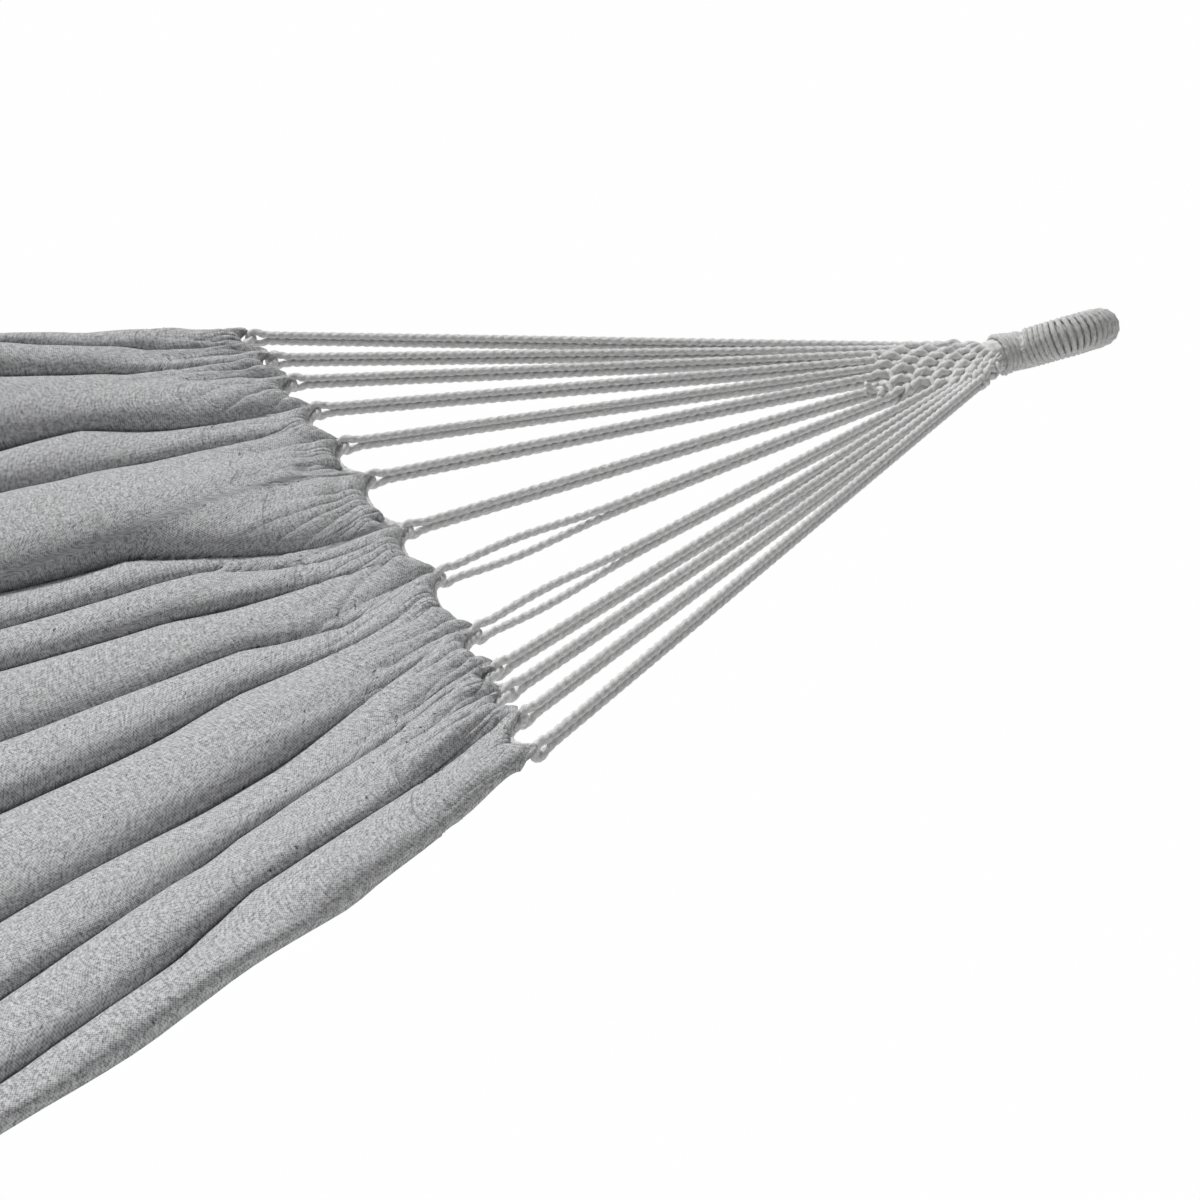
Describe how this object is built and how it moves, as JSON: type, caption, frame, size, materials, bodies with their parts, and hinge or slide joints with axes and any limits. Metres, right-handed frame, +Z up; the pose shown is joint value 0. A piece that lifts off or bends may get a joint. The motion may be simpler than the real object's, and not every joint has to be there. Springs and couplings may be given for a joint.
{
  "type": "hammock",
  "caption": "Cotton canvas hammock hung by a whipped eye at each end: pleated bed, header cords in hem tunnels, doubled clew cords and woven harnesses, swinging about its length.",
  "frame": {"origin": "the point where the right-hand eye bears on its hook", "axes": "+X along the hammock from its middle towards the right-hand hook, +Y across the bed, +Z up"},
  "size_m": [3.2176, 1.256, 0.2399],
  "materials": {
    "canvas": "light grey heathered plain-weave cotton canvas",
    "cotton_rope": "light grey twisted cotton rope, matt and slightly fuzzy",
    "whipping_cord": "light grey cotton cord wound tight"
  },
  "bodies": {
    "hang_eyes": {"eye_core_right": "cotton_rope", "eye_whipping_right": "whipping_cord", "neck_whipping_right": "whipping_cord", "eye_core_left": "cotton_rope", "eye_whipping_left": "whipping_cord", "neck_whipping_left": "whipping_cord"},
    "sling": {"bed_cloth": "canvas", "header_cord_right": "cotton_rope", "clew_pair_01_right": "cotton_rope", "clew_pair_02_right": "cotton_rope", "clew_pair_03_right": "cotton_rope", "clew_pair_04_right": "cotton_rope", "clew_pair_05_right": "cotton_rope", "clew_pair_06_right": "cotton_rope", "clew_pair_07_right": "cotton_rope", "clew_pair_08_right": "cotton_rope", "clew_pair_09_right": "cotton_rope", "clew_pair_10_right": "cotton_rope", "clew_pair_11_right": "cotton_rope", "clew_pair_12_right": "cotton_rope", "clew_pair_13_right": "cotton_rope", "harness_weave_right": "cotton_rope", "weft_knot_right": "cotton_rope", "header_cord_left": "cotton_rope", "clew_pair_01_left": "cotton_rope", "clew_pair_02_left": "cotton_rope", "clew_pair_03_left": "cotton_rope", "clew_pair_04_left": "cotton_rope", "clew_pair_05_left": "cotton_rope", "clew_pair_06_left": "cotton_rope", "clew_pair_07_left": "cotton_rope", "clew_pair_08_left": "cotton_rope", "clew_pair_09_left": "cotton_rope", "clew_pair_10_left": "cotton_rope", "clew_pair_11_left": "cotton_rope", "clew_pair_12_left": "cotton_rope", "clew_pair_13_left": "cotton_rope", "harness_weave_left": "cotton_rope", "weft_knot_left": "cotton_rope"}
  },
  "joints": [
    {"name": "bed_swing", "type": "hinge", "parent": "hang_eyes", "child": "sling", "pos_m": [-1.58, 0, -0.00608], "axis": [1, 0, 0], "range_deg": [-40, 40]}
  ]
}
